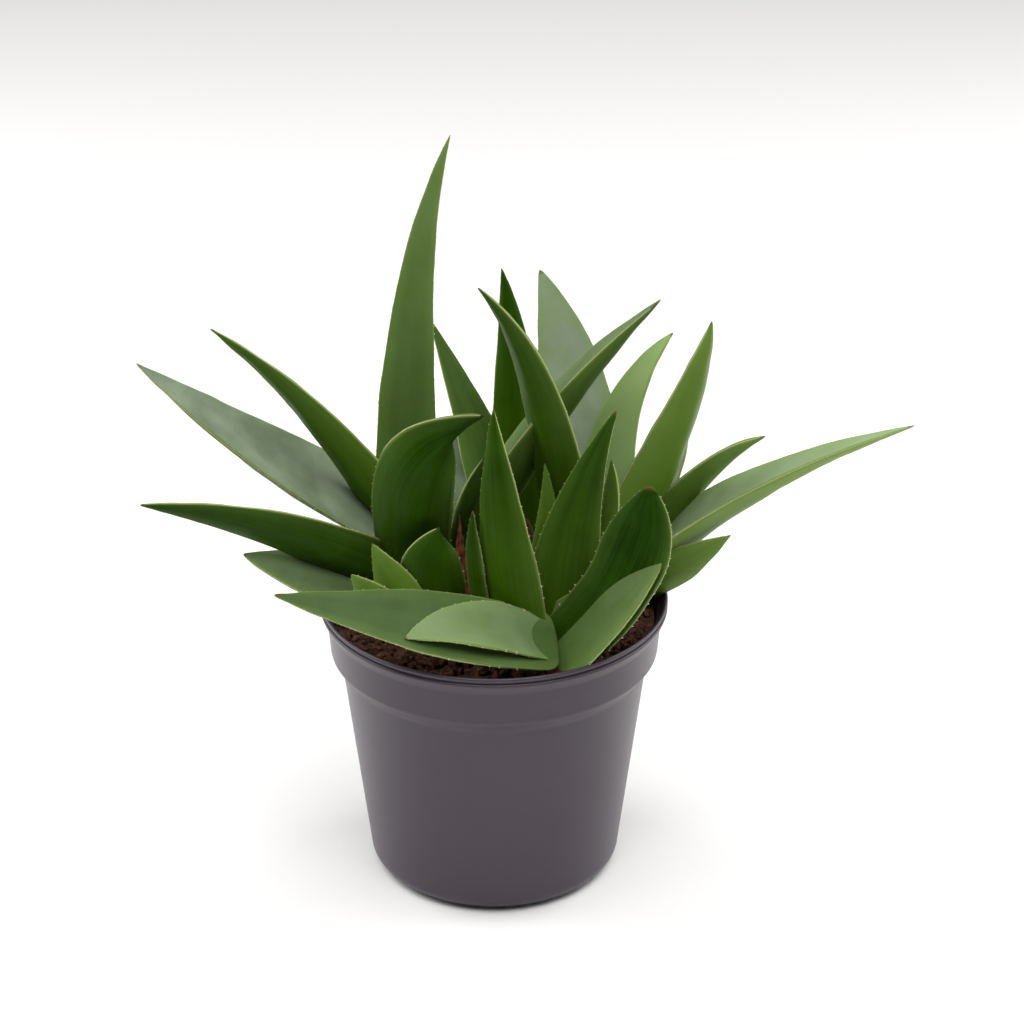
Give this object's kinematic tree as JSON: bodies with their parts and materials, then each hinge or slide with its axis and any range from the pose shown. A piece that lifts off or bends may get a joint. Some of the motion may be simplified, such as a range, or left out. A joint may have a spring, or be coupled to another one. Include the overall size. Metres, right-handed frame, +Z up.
{
  "type": "potted aloe plant",
  "caption": "Young clump-forming aloe with long tapering channelled leaves with fine marginal teeth, in a round plastic nursery pot of soil.",
  "frame": {"origin": "under the middle of the plant's whole spread, level with the undersides of the pot's feet", "axes": "+Z up the pot, -Y towards the side with the short front leaves and the offset, +X towards the long right-hand leaf"},
  "size_m": [0.23, 0.1268, 0.227],
  "materials": {
    "pot": "injection-moulded polypropylene, taupe grey, satin",
    "soil": "peat with bark and coir, matt",
    "leaf": "waxy green with a thin blue-grey bloom and pale toothed margins, satin",
    "stem": "short woody stem under the leaf bases, matt",
    "dry_sheath": "dried papery leaf base, matt"
  },
  "bodies": {
    "root": {"nursery_pot": "pot", "potting_soil": "soil", "stem_left": "stem", "stem_right": "stem", "stem_back": "stem", "stem_front": "stem", "stem_pup": "stem", "leaf_tall": "leaf", "leaf_hook": "leaf", "leaf_left_low": "leaf", "leaf_left_high": "leaf", "leaf_left_slim": "leaf", "leaf_left_rim": "leaf", "leaf_crossing": "leaf", "leaf_left_inner": "leaf", "leaf_spear": "leaf", "leaf_back_needle": "leaf", "leaf_back_blade": "leaf", "leaf_back_short": "leaf", "leaf_back_left": "leaf", "leaf_right_tall": "leaf", "leaf_right_grey": "leaf", "leaf_right_short": "leaf", "leaf_right_long": "leaf", "leaf_right_rim": "leaf", "leaf_front_short": "leaf", "leaf_front_upright": "leaf", "leaf_front_broad": "leaf", "leaf_front_inner": "leaf", "leaf_front_back": "leaf", "leaf_front_shelf": "leaf", "leaf_front_boat": "leaf", "leaf_front_left": "leaf", "leaf_pup_hood": "leaf", "leaf_pup_point": "leaf", "leaf_pup_notched": "leaf", "leaf_olive": "leaf", "leaf_back_low_1": "leaf", "leaf_back_low_2": "leaf", "leaf_back_low_3": "leaf", "leaf_back_low_4": "leaf", "leaf_back_low_5": "leaf", "leaf_back_low_6": "leaf", "leaf_back_low_7": "leaf", "dry_sheath_tall": "dry_sheath", "dry_sheath_short": "dry_sheath"}
  },
  "joints": []
}
